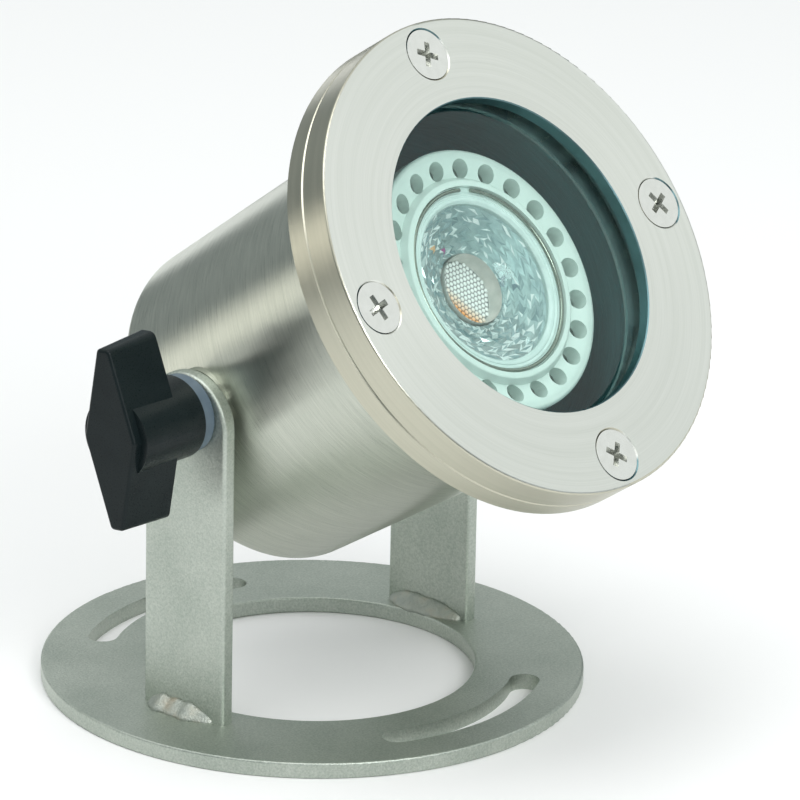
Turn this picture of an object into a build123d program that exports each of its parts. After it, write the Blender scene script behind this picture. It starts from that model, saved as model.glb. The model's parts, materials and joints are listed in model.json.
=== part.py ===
from build123d import *
from math import cos, radians, sin
import os

# Underwater pond light: a stainless head with a replaceable reflector lamp, tilting between
# two arms that are welded to a slotted base ring, and clamped by a wing knob on each side.
# Millimetres. Origin on the ground at the ring's centre, +Z up, the head faces -Y.

os.makedirs("parts", exist_ok=True)

# ---- driving dimensions -------------------------------------------------------------

SHEET = 3.0                # thickness of the ring and of the arms
EDGE = 0.4                 # broken edge on the ring
ARM_EDGE = 0.7             # softer edge on the arms

RING_R = 50.0              # base ring
RING_HOLE_R = 30.0
SLOT_R = 40.0              # centre line of the two fixing slots
SLOT_WIDTH = 5.5
SLOT_HALF_ANGLE = 27.0     # to the centre of each slot's end

ARM_OUTER_X = 35.9
ARM_WIDTH = 19.0
ARM_END_Z = 58.6           # centre of the arm's rounded end
PIVOT_Z = 60.8             # centre of the studs
HEAD_DROP = 1.3            # the beam's axis passes this far below the studs
ARM_HOLE_R = 3.25
WELD_LEG = 2.6
WELD_LENGTH = 18.0
WELD_BELLY = 0.6           # share of the leg at the middle of the bead's arc

TILT = 35.0                # the beam's height above level at rest

# The head is laid out by distance along the beam, counted from the head's centre.
BACK_D = -18.5             # outer face of the can's back
BACK_THICK = 2.0
CAN_BACK_R = 30.75
CAN_FRONT_R = 33.5
CAN_WALL = 1.5
CAN_BACK_FILLET = 3.0
FLANGE_BACK_D = 47.0
PARTING_D = 51.6           # joint between the flange and the bezel
BEZEL_FACE_D = 57.5
BEZEL_R = 45.0
BEZEL_ROUND = 0.45         # front edge
FLANGE_EDGE = 0.5          # broken edges of the flange
WINDOW_R = 29.6
WINDOW_EDGE = 0.2
SEAT_R = 35.3              # pocket for the glass and its gasket
SEAT_FLOOR_D = 49.5
SEAT_ROOF_D = 55.1
GLASS_R = 34.3
GLASS_BACK_D = 50.3
GLASS_FRONT_D = 54.3
GASKET_LIP_R = 31.0

SCREW_CIRCLE_R = 39.0      # four M5 countersunk screws
SCREW_R = 2.5
SCREW_HEAD_R = 4.7
SCREW_SUNK = 0.1           # the head lies this far below the bezel
SCREW_RIM = 0.12           # straight edge above the cone
SCREW_TIP_D = 47.8
SCREW_CLEARANCE_R = 2.75
SCREW_GAP = 0.12           # gap around the head
RECESS_SPAN = 4.8          # cross recess
RECESS_WIDTH = 1.15
RECESS_DEPTH = 1.7
RECESS_TAPER = 14
SINK_TAPER = 45
RECESS_TURNS = (28.0, 62.0, 12.0, 50.0)

# Reflector lamp, 50 mm size, with a two-pin base
LAMP_DROP = 1.1            # the lamp sits this far below the beam's axis
LAMP_RIM_R = 24.9
LAMP_RIM_D = 47.8
LAMP_RIM_ROUND = 0.8
LAMP_CREST_R = 23.2        # inner edge of the flat rim
LAMP_CREST_ROUND = 2.0
LAMP_BACK_D = 44.4
VALLEY_R = 19.7            # foot of the collar
VALLEY_D = 46.9
COLLAR_R = 18.8
COLLAR_BORE_R = 17.7
COLLAR_D = 48.2
COLLAR_ROUND = 0.4
VENTS = 22
VENT_R = 21.3
VENT_LENGTH = 3.5
VENT_WIDTH = 3.7
LENS_FACE_D = 47.2
LENS_THICK = 1.4
LENS_SHOULDER = 0.2        # step where the lens's bowl leaves its flange
LENS_BOWL_R = 14.6
LENS_EYE_R = 6.7
LENS_MOUTH_D = 43.4        # front of the eye
LENS_EYE_D = 40.0          # floor of the eye
LENS_FOOT_D = 36.6
LENS_FOOT_R = 6.2
LENS_POCKET_R = 4.7
LENS_POCKET_D = 38.6
SNAP_RING_R = 17.1
SNAP_WIRE_R = 0.35
SNAP_GAP = 9.0
SNAP_START = 79.5          # where the wire begins, counted from the right
SHELL_BACK_R = 14.0
SHELL_BACK_D = 20.0
SHELL_WALL = 1.2
SHELL_STEP = 0.2           # the shell is this much slimmer than the rim
LAMP_BASE_D = 9.5
LAMP_BASE_SIZE = (20.0, 13.6)
LAMP_BASE_ROUND = 2.5
PIN_R = 0.75
PIN_HALF_PITCH = 2.665
PIN_TIP_D = 3.0
PIN_ROOT_D = 14.0
HEATSINK_R = 16.5
HEATSINK_D = 30.0
HEATSINK_NOTCH = (3.0, 2.0)
LED_BOARD_R = 13.5
LED_BOARD_D = 33.5
LED_BOARD_THICK = 1.6
EMITTER_R = 4.0
EMITTER_THICK = 1.0
DRIVER_R = 11.0
DRIVER_D = 25.0
DRIVER_THICK = 1.2
CAPACITOR_R = 2.6
CAPACITOR_SPOT = (-5.0, 3.0)
COIL_SIZE = (6.0, 5.0)
COIL_SPOT = (4.5, 3.5)
CHIP_SIZE = (9.0, 4.0)
CHIP_SPOT = (2.0, -5.0)
COMPONENT_HEIGHT = 2.8

# Lamp holder, its bracket and the wiring behind it
HOLDER_SIZE = (21.0, 12.0)
HOLDER_ROUND = 1.5
HOLDER_BACK_D = 0.3
HOLDER_FRONT_D = 9.2
CONTACT_R = 1.6
CONTACT_BACK_D = 2.0
CONTACT_FRONT_D = 8.0
PIN_ENTRY_R = 0.95
HOLDER_SCREW_X = 7.1
HOLDER_SCREW_R = 1.5
HOLDER_SCREW_CLEARANCE_R = 1.6
HOLDER_SCREW_HEAD_R = 2.5
HOLDER_SCREW_POCKET_R = 2.6
HOLDER_SCREW_HEAD = 1.8
HOLDER_SCREW_TIP_D = -3.6
NUT_FLATS = 5.5
NUT_THICK = 2.4
BRACKET_SHEET = 1.0
BRACKET_HALF_SPAN = 13.0
BRACKET_FOOT = 5.5
TERMINAL_SIZE = (13.0, 9.4, 10.0)
TERMINAL_ROUND = 0.8
TERMINAL_NEAR_Y = 13.8
TERMINAL_FRONT_D = 0.0
TERMINAL_SCREW_R = 1.3
TERMINAL_SCREW_LENGTH = 3.2
TERMINAL_SCREW_DROP = 6.5
SLOT_CUT = 0.5
WIRE_R = 0.9
WIRE_HOLE_R = 0.95
WIRE_D = 6.0
WIRE_BEND_R = 7.0
WIRE_GRIP = 4.0            # stripped end inside the terminal block

# Cable gland in the back of the can
GLAND_THREAD_R = 6.0
GLAND_FLATS = 15.0
GLAND_HEX_THICK = 5.0
GLAND_WASHER_R = 7.4
GLAND_WASHER_THICK = 1.2
GLAND_INNER_END_D = -11.5
GLAND_OUTER_THREAD = 6.5
GLAND_BORE_R = 3.9
LOCKNUT_FLATS = 16.0
LOCKNUT_THICK = 3.5
SEAL_R = 4.7
SEAL_BORE_R = 3.25
SEAL_LENGTH = 6.0
CAP_CLEAR = 0.6            # gap between the hexagons of the body and the cap
CAP_LENGTH = 11.5
CAP_HEX = 6.5
CAP_MOUTH_R = 3.7
CAP_DOME_R = 5.2
CAP_NECK = 0.2             # the dome starts this far inside the hexagon
CAP_SHOULDER = 0.8
CAP_DOME = 2.5

# Clamp on each side: blind boss, stud, nylon washer and wing knob
BOSS_R = 7.0
BOSS_INNER_X = 25.2
BOSS_OUTER_X = 32.6
BOSS_HOLE_BOTTOM_X = 26.6
STUD_R = 3.0
STUD_RUNNING = 0.05
STUD_INNER_X = 27.2
STUD_OUTER_X = 50.0
WASHER_R = 7.2
WASHER_EDGE = 0.25
WASHER_THICK = 3.0
KNOB_FACE_X = 55.9
HUB_R = 7.65
HUB_DRAFT = 1.0
HUB_FACE_X = 54.1
WING_BACK_X = 44.2
WING_HALF_LENGTH = 17.2
WING_HALF_WIDTH = 6.6
WING_TIP_HALF = 1.9
WING_DRAFT = 3.0
WING_TURN = 6.2
WING_CORNER = 1.5
KNOB_EDGE = 0.6

# ---- derived places -----------------------------------------------------------------

ARM_INNER_X = ARM_OUTER_X - SHEET
BACK_INNER_D = BACK_D + BACK_THICK
PIVOT = Vector(0, 0, PIVOT_Z)
BEAM = Vector(0, -cos(radians(TILT)), sin(radians(TILT)))
UP_IN_FACE = Vector(0, sin(radians(TILT)), cos(radians(TILT)))

CENTRE = PIVOT - Vector(0, 0, HEAD_DROP)
LAMP_CENTRE = CENTRE - UP_IN_FACE * LAMP_DROP

# HEAD: x to the right, y up in the face, z along the beam.
# HEAD_SECTION: x outward from the beam, y along the beam, for turned pieces.
# The LAMP planes are the same, about the lamp's own axis. LAMP_SIDE is seen from the side,
# x up in the face, y along the beam, and LAMP_UP looks up in the face.
HEAD = Plane(origin=CENTRE, x_dir=(1, 0, 0), z_dir=BEAM)
HEAD_SECTION = Plane(origin=CENTRE, x_dir=(1, 0, 0), z_dir=-UP_IN_FACE)
BEAM_AXIS = Axis(CENTRE, BEAM)
LAMP = Plane(origin=LAMP_CENTRE, x_dir=(1, 0, 0), z_dir=BEAM)
LAMP_SECTION = Plane(origin=LAMP_CENTRE, x_dir=(1, 0, 0), z_dir=-UP_IN_FACE)
LAMP_SIDE = Plane(origin=LAMP_CENTRE, x_dir=UP_IN_FACE, z_dir=(1, 0, 0))
LAMP_UP = Plane(origin=LAMP_CENTRE, x_dir=(1, 0, 0), z_dir=UP_IN_FACE)
LAMP_AXIS = Axis(LAMP_CENTRE, BEAM)

# Each side plane looks outward from the pivot, with y up.
SIDES = {
    "left": Plane(origin=PIVOT, x_dir=(0, -1, 0), z_dir=(-1, 0, 0)),
    "right": Plane(origin=PIVOT, x_dir=(0, 1, 0), z_dir=(1, 0, 0)),
}


def write(piece, label):
    """Label a finished sub-part and write its file."""
    piece.part.label = label
    export_step(piece.part, f"parts/{label}.step")


def turned(points, section=HEAD_SECTION, axis=BEAM_AXIS):
    """A piece turned about an axis, from (radius, distance along the beam) points."""
    with BuildPart() as piece:
        with BuildSketch(section):
            with BuildLine():
                Polyline(*points, close=True)
            make_face()
        revolve(axis=axis)
    return piece


# ---- base ---------------------------------------------------------------------------

slot_lines = [
    CenterArc((0, 0), SLOT_R, middle - SLOT_HALF_ANGLE, 2 * SLOT_HALF_ANGLE)
    for middle in (-90, 90)
]

with BuildPart() as base_ring:
    with BuildSketch():
        Circle(RING_R)
        Circle(RING_HOLE_R, mode=Mode.SUBTRACT)
        for line in slot_lines:
            SlotArc(line, SLOT_WIDTH, mode=Mode.SUBTRACT)
    extrude(amount=SHEET)
    circles = base_ring.edges().filter_by(GeomType.CIRCLE)
    rims = circles.filter_by(lambda e: e.radius in (RING_R, RING_HOLE_R))
    fillet(rims, radius=EDGE)
write(base_ring, "base_ring")

for name, side in SIDES.items():
    with BuildPart() as arm:
        with BuildSketch(side.offset(ARM_INNER_X)):
            with Locations((0, ARM_END_Z - PIVOT_Z)):
                Circle(ARM_WIDTH / 2)
                Rectangle(ARM_WIDTH, ARM_END_Z - SHEET, align=(Align.CENTER, Align.MAX))
            Circle(ARM_HOLE_R, mode=Mode.SUBTRACT)
        extrude(amount=SHEET)
        outlines = arm.faces().filter_by(Axis.X).edges()
        long_edges = outlines.filter_by(lambda e: e.center().Z > SHEET + ARM_EDGE)
        fillet(long_edges, radius=ARM_EDGE)
    write(arm, f"{name}_arm")

with BuildPart() as arm_welds:
    for side in (-1, 1):
        for face_x, away in ((ARM_OUTER_X, 1), (ARM_INNER_X, -1)):
            with BuildSketch(Plane.XZ):
                corner = (side * face_x, SHEET)
                toe = (side * (face_x + away * WELD_LEG), SHEET)
                crest = (side * face_x, SHEET + WELD_LEG)
                belly = WELD_LEG * WELD_BELLY
                middle = (side * (face_x + away * belly), SHEET + belly)
                with BuildLine():
                    Line(corner, toe)
                    ThreePointArc(toe, middle, crest)
                    Line(crest, corner)
                make_face()
            extrude(amount=WELD_LENGTH / 2, both=True)
write(arm_welds, "arm_welds")

# ---- housing ------------------------------------------------------------------------

with BuildPart() as body_can:
    with BuildSketch(HEAD_SECTION):
        with BuildLine():
            Polyline(
                (GLAND_THREAD_R, BACK_D),
                (CAN_BACK_R - CAN_BACK_FILLET, BACK_D),
            )
            RadiusArc(
                (CAN_BACK_R - CAN_BACK_FILLET, BACK_D),
                (CAN_BACK_R, BACK_D + CAN_BACK_FILLET),
                -CAN_BACK_FILLET,
            )
            Polyline(
                (CAN_BACK_R, BACK_D + CAN_BACK_FILLET),
                (CAN_FRONT_R, FLANGE_BACK_D),
                (CAN_FRONT_R, SEAT_FLOOR_D),
                (CAN_FRONT_R - CAN_WALL, SEAT_FLOOR_D),
                (CAN_FRONT_R - CAN_WALL, FLANGE_BACK_D),
                (CAN_BACK_R - CAN_WALL, BACK_INNER_D),
                (GLAND_THREAD_R, BACK_INNER_D),
                (GLAND_THREAD_R, BACK_D),
            )
        make_face()
    revolve(axis=BEAM_AXIS)
    for side in SIDES.values():
        with BuildSketch(side.offset(BOSS_INNER_X)):
            Circle(BOSS_R)
        extrude(amount=CAN_FRONT_R - BOSS_INNER_X, mode=Mode.SUBTRACT)
write(body_can, "body_can")

with BuildPart() as body_flange:
    add(turned([
        (CAN_FRONT_R, FLANGE_BACK_D),
        (BEZEL_R - FLANGE_EDGE, FLANGE_BACK_D),
        (BEZEL_R, FLANGE_BACK_D + FLANGE_EDGE),
        (BEZEL_R, PARTING_D - FLANGE_EDGE / 2),
        (BEZEL_R - FLANGE_EDGE / 2, PARTING_D),
        (SEAT_R, PARTING_D),
        (SEAT_R, SEAT_FLOOR_D),
        (CAN_FRONT_R, SEAT_FLOOR_D),
    ]).part)
    with BuildSketch(HEAD.offset(FLANGE_BACK_D)):
        with PolarLocations(SCREW_CIRCLE_R, 4):
            Circle(SCREW_R)
    extrude(amount=PARTING_D - FLANGE_BACK_D, mode=Mode.SUBTRACT)
write(body_flange, "body_flange")

for name, side in SIDES.items():
    with BuildPart() as boss:
        with BuildSketch(side.offset(BOSS_INNER_X)):
            Circle(BOSS_R)
        extrude(amount=BOSS_OUTER_X - BOSS_INNER_X)
        with BuildSketch(side.offset(BOSS_HOLE_BOTTOM_X)):
            Circle(STUD_R + STUD_RUNNING)
        extrude(amount=BOSS_OUTER_X - BOSS_HOLE_BOTTOM_X, mode=Mode.SUBTRACT)
    write(boss, f"{name}_pivot_boss")

# The bezel's front edge is rounded, its window edge is broken, and its screw holes have
# 90 degree countersinks a little wider than the heads.
SINK_R = SCREW_HEAD_R + SCREW_SUNK + SCREW_RIM + SCREW_GAP

with BuildPart() as bezel_ring:
    add(turned([
        (WINDOW_R, SEAT_ROOF_D),
        (WINDOW_R, BEZEL_FACE_D),
        (BEZEL_R, BEZEL_FACE_D),
        (BEZEL_R, PARTING_D + FLANGE_EDGE / 2),
        (BEZEL_R - FLANGE_EDGE / 2, PARTING_D),
        (SEAT_R, PARTING_D),
        (SEAT_R, SEAT_ROOF_D),
    ]).part)
    front = bezel_ring.faces().sort_by(BEAM_AXIS)[-1]
    rim = front.edges().sort_by(SortBy.RADIUS)
    fillet(rim[-1], radius=BEZEL_ROUND)
    chamfer(rim[0], length=WINDOW_EDGE)
    with BuildSketch(HEAD.offset(BEZEL_FACE_D)):
        with PolarLocations(SCREW_CIRCLE_R, 4):
            Circle(SCREW_CLEARANCE_R)
    extrude(amount=PARTING_D - BEZEL_FACE_D, mode=Mode.SUBTRACT)
    with BuildSketch(HEAD.offset(BEZEL_FACE_D)):
        with PolarLocations(SCREW_CIRCLE_R, 4):
            Circle(SINK_R)
    extrude(amount=SCREW_CLEARANCE_R - SINK_R, taper=SINK_TAPER, mode=Mode.SUBTRACT)
write(bezel_ring, "bezel_ring")

# Countersunk screws: a short rim, a 90 degree cone and a shank that fills the tapped hole.
HEAD_TOP_D = BEZEL_FACE_D - SCREW_SUNK
CONE_END_D = HEAD_TOP_D - SCREW_RIM - (SCREW_HEAD_R - SCREW_R)

with BuildPart() as bezel_screws:
    for number, turn in enumerate(RECESS_TURNS):
        station = HEAD * Rot(0, 0, 90 * number) * Pos(SCREW_CIRCLE_R, 0, 0)
        section = Plane(station * Rot(90, 0, 0))
        with BuildSketch(section):
            with BuildLine():
                Polyline(
                    (0, SCREW_TIP_D),
                    (SCREW_R, SCREW_TIP_D),
                    (SCREW_R, CONE_END_D),
                    (SCREW_HEAD_R, HEAD_TOP_D - SCREW_RIM),
                    (SCREW_HEAD_R, HEAD_TOP_D),
                    (0, HEAD_TOP_D),
                    close=True,
                )
            make_face()
        revolve(axis=Axis(Plane(station).origin, BEAM))
        recess = Plane(station * Rot(0, 0, turn)).offset(HEAD_TOP_D)
        with BuildSketch(recess):
            Rectangle(RECESS_SPAN, RECESS_WIDTH)
            Rectangle(RECESS_WIDTH, RECESS_SPAN)
        extrude(amount=-RECESS_DEPTH, taper=RECESS_TAPER, mode=Mode.SUBTRACT)
write(bezel_screws, "bezel_screws")

lens_glass = turned([
    (0, GLASS_BACK_D), (GLASS_R, GLASS_BACK_D), (GLASS_R, GLASS_FRONT_D), (0, GLASS_FRONT_D),
])
write(lens_glass, "lens_glass")

lens_gasket = turned([
    (GASKET_LIP_R, SEAT_FLOOR_D),
    (SEAT_R, SEAT_FLOOR_D),
    (SEAT_R, SEAT_ROOF_D),
    (GASKET_LIP_R, SEAT_ROOF_D),
    (GASKET_LIP_R, GLASS_FRONT_D),
    (GLASS_R, GLASS_FRONT_D),
    (GLASS_R, GLASS_BACK_D),
    (GASKET_LIP_R, GLASS_BACK_D),
])
write(lens_gasket, "lens_gasket")

# ---- lamp ---------------------------------------------------------------------------

SHELL_FRONT_R = LAMP_RIM_R - SHELL_STEP

with BuildPart() as lamp_front:
    add(turned([
        (COLLAR_BORE_R, LAMP_BACK_D),
        (COLLAR_BORE_R, COLLAR_D),
        (COLLAR_R, COLLAR_D),
        (VALLEY_R, VALLEY_D),
        (LAMP_CREST_R, LAMP_RIM_D),
        (LAMP_RIM_R, LAMP_RIM_D),
        (LAMP_RIM_R, LAMP_BACK_D),
    ], LAMP_SECTION, LAMP_AXIS).part)
    rounds = ((COLLAR_R, COLLAR_ROUND), (LAMP_CREST_R, LAMP_CREST_ROUND), (LAMP_RIM_R, LAMP_RIM_ROUND))
    for edge_r, round_r in rounds:
        circles = lamp_front.edges().filter_by(GeomType.CIRCLE)
        edge = circles.sort_by(lambda e: abs(e.radius - edge_r))[:2].sort_by(LAMP_AXIS)[-1]
        fillet(edge, radius=round_r)
    with BuildSketch(LAMP.offset(LAMP_BACK_D)):
        with PolarLocations(VENT_R, VENTS, start_angle=90):
            Ellipse(VENT_LENGTH / 2, VENT_WIDTH / 2)
    extrude(amount=COLLAR_D - LAMP_BACK_D, mode=Mode.SUBTRACT)
write(lamp_front, "lamp_front")

lamp_shell = turned([
    (0, SHELL_BACK_D),
    (SHELL_BACK_R, SHELL_BACK_D),
    (SHELL_FRONT_R, LAMP_BACK_D),
    (SHELL_FRONT_R - SHELL_WALL, LAMP_BACK_D),
    (SHELL_BACK_R - SHELL_WALL, SHELL_BACK_D + SHELL_WALL),
    (0, SHELL_BACK_D + SHELL_WALL),
], LAMP_SECTION, LAMP_AXIS)
write(lamp_shell, "lamp_shell")

with BuildPart() as lamp_base:
    with BuildSketch(LAMP.offset(LAMP_BASE_D)):
        RectangleRounded(*LAMP_BASE_SIZE, radius=LAMP_BASE_ROUND)
        with Locations((-PIN_HALF_PITCH, 0), (PIN_HALF_PITCH, 0)):
            Circle(PIN_R, mode=Mode.SUBTRACT)
    extrude(amount=SHELL_BACK_D - LAMP_BASE_D)
write(lamp_base, "lamp_base")

with BuildPart() as lamp_pins:
    with BuildSketch(LAMP.offset(PIN_TIP_D)):
        with Locations((-PIN_HALF_PITCH, 0), (PIN_HALF_PITCH, 0)):
            Circle(PIN_R)
    extrude(amount=PIN_ROOT_D - PIN_TIP_D)
write(lamp_pins, "lamp_pins")

with BuildPart() as lamp_driver:
    with BuildSketch(LAMP.offset(DRIVER_D)):
        Circle(DRIVER_R)
    extrude(amount=DRIVER_THICK)
    with BuildSketch(LAMP.offset(DRIVER_D + DRIVER_THICK)):
        with Locations(CAPACITOR_SPOT):
            Circle(CAPACITOR_R)
        with Locations(COIL_SPOT):
            Rectangle(*COIL_SIZE)
        with Locations(CHIP_SPOT):
            Rectangle(*CHIP_SIZE)
    extrude(amount=COMPONENT_HEIGHT)
write(lamp_driver, "lamp_driver")

with BuildPart() as lamp_heatsink:
    with BuildSketch(LAMP.offset(HEATSINK_D)):
        Circle(HEATSINK_R)
        with PolarLocations(HEATSINK_R, VENTS, start_angle=90):
            Rectangle(*HEATSINK_NOTCH, mode=Mode.SUBTRACT)
    extrude(amount=LED_BOARD_D - HEATSINK_D)
write(lamp_heatsink, "lamp_heatsink")

with BuildPart() as led_board:
    with BuildSketch(LAMP.offset(LED_BOARD_D)):
        Circle(LED_BOARD_R)
    extrude(amount=LED_BOARD_THICK)
write(led_board, "led_board")

with BuildPart() as led_emitter:
    with BuildSketch(LAMP.offset(LED_BOARD_D + LED_BOARD_THICK)):
        Circle(EMITTER_R)
    extrude(amount=EMITTER_THICK)
write(led_emitter, "led_emitter")

LENS_BACK_D = LENS_FACE_D - LENS_THICK

lamp_lens = turned([
    (0, LENS_POCKET_D),
    (LENS_POCKET_R, LENS_POCKET_D),
    (LENS_POCKET_R, LENS_FOOT_D),
    (LENS_FOOT_R, LENS_FOOT_D),
    (LENS_BOWL_R - LENS_SHOULDER, LENS_BACK_D),
    (COLLAR_BORE_R, LENS_BACK_D),
    (COLLAR_BORE_R, LENS_FACE_D),
    (LENS_BOWL_R, LENS_FACE_D),
    (LENS_EYE_R, LENS_MOUTH_D),
    (LENS_EYE_R, LENS_EYE_D),
    (0, LENS_EYE_D),
], LAMP_SECTION, LAMP_AXIS)
write(lamp_lens, "lamp_lens")

with BuildPart() as lens_snap_ring:
    with BuildSketch(Plane(LAMP * Rot(0, 0, SNAP_START) * Rot(90, 0, 0))):
        with Locations((SNAP_RING_R, LENS_FACE_D + SNAP_WIRE_R)):
            Circle(SNAP_WIRE_R)
    revolve(axis=LAMP_AXIS, revolution_arc=360 - SNAP_GAP)
write(lens_snap_ring, "lens_snap_ring")

# ---- lamp holder and wiring ---------------------------------------------------------

PIN_SPOTS = [(-PIN_HALF_PITCH, 0), (PIN_HALF_PITCH, 0)]
SCREW_SPOTS = [(-HOLDER_SCREW_X, 0), (HOLDER_SCREW_X, 0)]
TERMINAL_Y = TERMINAL_NEAR_Y + TERMINAL_SIZE[1] / 2
TERMINAL_FAR_Y = TERMINAL_NEAR_Y + TERMINAL_SIZE[1]
WIRE_SPOTS = [(-PIN_HALF_PITCH, TERMINAL_Y), (PIN_HALF_PITCH, TERMINAL_Y)]
HOLDER_HEAD_D = HOLDER_FRONT_D - HOLDER_SCREW_HEAD

with BuildPart() as lamp_holder:
    with BuildSketch(LAMP.offset(HOLDER_BACK_D)):
        RectangleRounded(*HOLDER_SIZE, radius=HOLDER_ROUND)
    extrude(amount=HOLDER_FRONT_D - HOLDER_BACK_D)
    with BuildSketch(LAMP.offset(HOLDER_BACK_D)):
        with Locations(*SCREW_SPOTS):
            Circle(HOLDER_SCREW_CLEARANCE_R)
    extrude(amount=HOLDER_FRONT_D - HOLDER_BACK_D, mode=Mode.SUBTRACT)
    with BuildSketch(LAMP.offset(HOLDER_HEAD_D)):
        with Locations(*SCREW_SPOTS):
            Circle(HOLDER_SCREW_POCKET_R)
    extrude(amount=HOLDER_SCREW_HEAD, mode=Mode.SUBTRACT)
    with BuildSketch(LAMP.offset(CONTACT_BACK_D)):
        with Locations(*PIN_SPOTS):
            Circle(CONTACT_R)
    extrude(amount=CONTACT_FRONT_D - CONTACT_BACK_D, mode=Mode.SUBTRACT)
    with BuildSketch(LAMP.offset(CONTACT_FRONT_D)):
        with Locations(*PIN_SPOTS):
            Circle(PIN_ENTRY_R)
    extrude(amount=HOLDER_FRONT_D - CONTACT_FRONT_D, mode=Mode.SUBTRACT)
    with BuildSketch(LAMP_UP):
        with Locations((-PIN_HALF_PITCH, -WIRE_D), (PIN_HALF_PITCH, -WIRE_D)):
            Circle(WIRE_HOLE_R)
    extrude(amount=HOLDER_SIZE[1], mode=Mode.SUBTRACT)
write(lamp_holder, "lamp_holder")

with BuildPart() as holder_contacts:
    with BuildSketch(LAMP.offset(CONTACT_BACK_D)):
        with Locations(*PIN_SPOTS):
            Circle(CONTACT_R)
            Circle(PIN_R, mode=Mode.SUBTRACT)
    extrude(amount=CONTACT_FRONT_D - CONTACT_BACK_D)
write(holder_contacts, "holder_contacts")

with BuildPart() as holder_screws:
    with BuildSketch(LAMP.offset(HOLDER_SCREW_TIP_D)):
        with Locations(*SCREW_SPOTS):
            Circle(HOLDER_SCREW_R)
    extrude(amount=HOLDER_HEAD_D - HOLDER_SCREW_TIP_D)
    with BuildSketch(LAMP.offset(HOLDER_HEAD_D)):
        with Locations(*SCREW_SPOTS):
            Circle(HOLDER_SCREW_HEAD_R)
            Rectangle(2 * HOLDER_SCREW_HEAD_R, SLOT_CUT, mode=Mode.SUBTRACT)
    extrude(amount=HOLDER_SCREW_HEAD)
    with BuildSketch(LAMP.offset(HOLDER_HEAD_D)):
        with Locations(*SCREW_SPOTS):
            Circle(HOLDER_SCREW_HEAD_R)
    extrude(amount=HOLDER_SCREW_HEAD / 2)
write(holder_screws, "holder_screws")

WEB_BACK_D = HOLDER_BACK_D - BRACKET_SHEET

with BuildPart() as holder_nuts:
    with BuildSketch(LAMP.offset(WEB_BACK_D)):
        with Locations(*SCREW_SPOTS):
            RegularPolygon(NUT_FLATS / 2, 6, major_radius=False)
            Circle(HOLDER_SCREW_R, mode=Mode.SUBTRACT)
    extrude(amount=-NUT_THICK)
write(holder_nuts, "holder_nuts")

with BuildPart() as holder_bracket:
    with BuildSketch(LAMP_SECTION):
        for side in (-1, 1):
            span = side * BRACKET_HALF_SPAN
            inner = side * (BRACKET_HALF_SPAN - BRACKET_SHEET)
            toe = side * (BRACKET_HALF_SPAN + BRACKET_FOOT)
            with BuildLine():
                Polyline(
                    (0, WEB_BACK_D),
                    (0, HOLDER_BACK_D),
                    (span, HOLDER_BACK_D),
                    (span, BACK_INNER_D + BRACKET_SHEET),
                    (toe, BACK_INNER_D + BRACKET_SHEET),
                    (toe, BACK_INNER_D),
                    (inner, BACK_INNER_D),
                    (inner, WEB_BACK_D),
                    close=True,
                )
            make_face()
    extrude(amount=HOLDER_SIZE[1] / 2, both=True)
    with BuildSketch(LAMP_SIDE):
        with BuildLine():
            Polyline(
                (0, HOLDER_BACK_D),
                (TERMINAL_NEAR_Y, HOLDER_BACK_D),
                (TERMINAL_NEAR_Y, -TERMINAL_SIZE[2]),
                (TERMINAL_NEAR_Y - BRACKET_SHEET, -TERMINAL_SIZE[2]),
                (TERMINAL_NEAR_Y - BRACKET_SHEET, WEB_BACK_D),
                (0, WEB_BACK_D),
                close=True,
            )
        make_face()
    extrude(amount=TERMINAL_SIZE[0] / 2, both=True)
    with BuildSketch(LAMP.offset(WEB_BACK_D)):
        with Locations(*SCREW_SPOTS):
            Circle(HOLDER_SCREW_CLEARANCE_R)
    extrude(amount=BRACKET_SHEET, mode=Mode.SUBTRACT)
write(holder_bracket, "holder_bracket")

SCREW_LEVEL_D = TERMINAL_FRONT_D - TERMINAL_SCREW_DROP
TERMINAL_SCREW_SPOTS = [(-PIN_HALF_PITCH, -SCREW_LEVEL_D), (PIN_HALF_PITCH, -SCREW_LEVEL_D)]

with BuildPart() as terminal_block:
    with BuildSketch(LAMP.offset(TERMINAL_FRONT_D - TERMINAL_SIZE[2])):
        with Locations((0, TERMINAL_Y)):
            RectangleRounded(TERMINAL_SIZE[0], TERMINAL_SIZE[1], radius=TERMINAL_ROUND)
    extrude(amount=TERMINAL_SIZE[2])
    with BuildSketch(LAMP.offset(TERMINAL_FRONT_D)):
        with Locations(*WIRE_SPOTS):
            Circle(WIRE_HOLE_R)
    extrude(amount=-WIRE_GRIP, mode=Mode.SUBTRACT)
    with BuildSketch(LAMP.offset(TERMINAL_FRONT_D - TERMINAL_SIZE[2])):
        with Locations(*WIRE_SPOTS):
            Circle(WIRE_HOLE_R)
    extrude(amount=WIRE_GRIP / 2, mode=Mode.SUBTRACT)
    with BuildSketch(LAMP_UP.offset(TERMINAL_FAR_Y)):
        with Locations(*TERMINAL_SCREW_SPOTS):
            Circle(TERMINAL_SCREW_R)
    extrude(amount=-TERMINAL_SCREW_LENGTH, mode=Mode.SUBTRACT)
write(terminal_block, "terminal_block")

with BuildPart() as terminal_screws:
    with BuildSketch(LAMP_UP.offset(TERMINAL_FAR_Y - TERMINAL_SCREW_LENGTH)):
        with Locations(*TERMINAL_SCREW_SPOTS):
            Circle(TERMINAL_SCREW_R)
    extrude(amount=TERMINAL_SCREW_LENGTH - SLOT_CUT)
    with BuildSketch(LAMP_UP.offset(TERMINAL_FAR_Y - SLOT_CUT)):
        with Locations(*TERMINAL_SCREW_SPOTS):
            Rectangle(2 * TERMINAL_SCREW_R, SLOT_CUT)
    extrude(amount=-SLOT_CUT, mode=Mode.SUBTRACT)
write(terminal_screws, "terminal_screws")

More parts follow.
